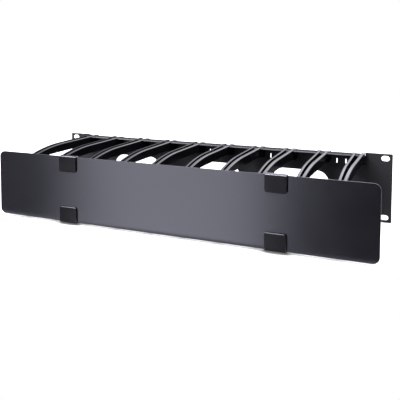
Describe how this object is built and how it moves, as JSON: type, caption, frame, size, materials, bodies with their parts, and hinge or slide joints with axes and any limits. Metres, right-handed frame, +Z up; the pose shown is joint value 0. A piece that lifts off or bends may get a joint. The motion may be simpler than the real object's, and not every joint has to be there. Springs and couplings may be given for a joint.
{
  "type": "horizontal cable manager",
  "caption": "Rack-width horizontal cable manager: folded steel back panel, rows of moulded cable fingers above and below, and a flat front cover that hinges up on edge clips.",
  "frame": {"origin": "centre of the four rack slots, on the back panel's rear face, which seats on the rack's rails", "axes": "+X to the right seen from the front, +Y from the front towards the back of the rack, +Z up"},
  "size_m": [0.4826, 0.1697, 0.0882],
  "materials": {
    "panel_steel": "black satin powder coat on folded sheet steel",
    "cover_steel": "fine satin charcoal-black powder coat",
    "finger_plastic": "black moulded plastic with a soft sheen",
    "clip_plastic": "black moulded plastic, fine texture",
    "pin_steel": "bright drawn steel"
  },
  "bodies": {
    "frame": {"back_panel": "panel_steel", "finger_upper_01": "finger_plastic", "finger_upper_02": "finger_plastic", "finger_upper_03": "finger_plastic", "finger_upper_04": "finger_plastic", "finger_upper_05": "finger_plastic", "finger_upper_06": "finger_plastic", "finger_upper_07": "finger_plastic", "finger_upper_08": "finger_plastic", "finger_upper_09": "finger_plastic", "finger_upper_10": "finger_plastic", "finger_lower_01": "finger_plastic", "finger_lower_02": "finger_plastic", "finger_lower_03": "finger_plastic", "finger_lower_04": "finger_plastic", "finger_lower_05": "finger_plastic", "finger_lower_06": "finger_plastic", "finger_lower_07": "finger_plastic", "finger_lower_08": "finger_plastic", "finger_lower_09": "finger_plastic", "finger_lower_10": "finger_plastic", "hinge_pin_upper_left": "pin_steel", "hinge_pin_upper_right": "pin_steel", "hinge_pin_lower_left": "pin_steel", "hinge_pin_lower_right": "pin_steel"},
    "cover": {"cover_plate": "cover_steel", "cover_clip_upper_left": "clip_plastic", "cover_clip_upper_right": "clip_plastic", "cover_clip_lower_left": "clip_plastic", "cover_clip_lower_right": "clip_plastic"}
  },
  "joints": [
    {"name": "cover_hinge", "type": "hinge", "parent": "frame", "child": "cover", "pos_m": [0, -0.154, 0.03285], "axis": [-1, 0, 0], "range_deg": [0, 105]}
  ]
}
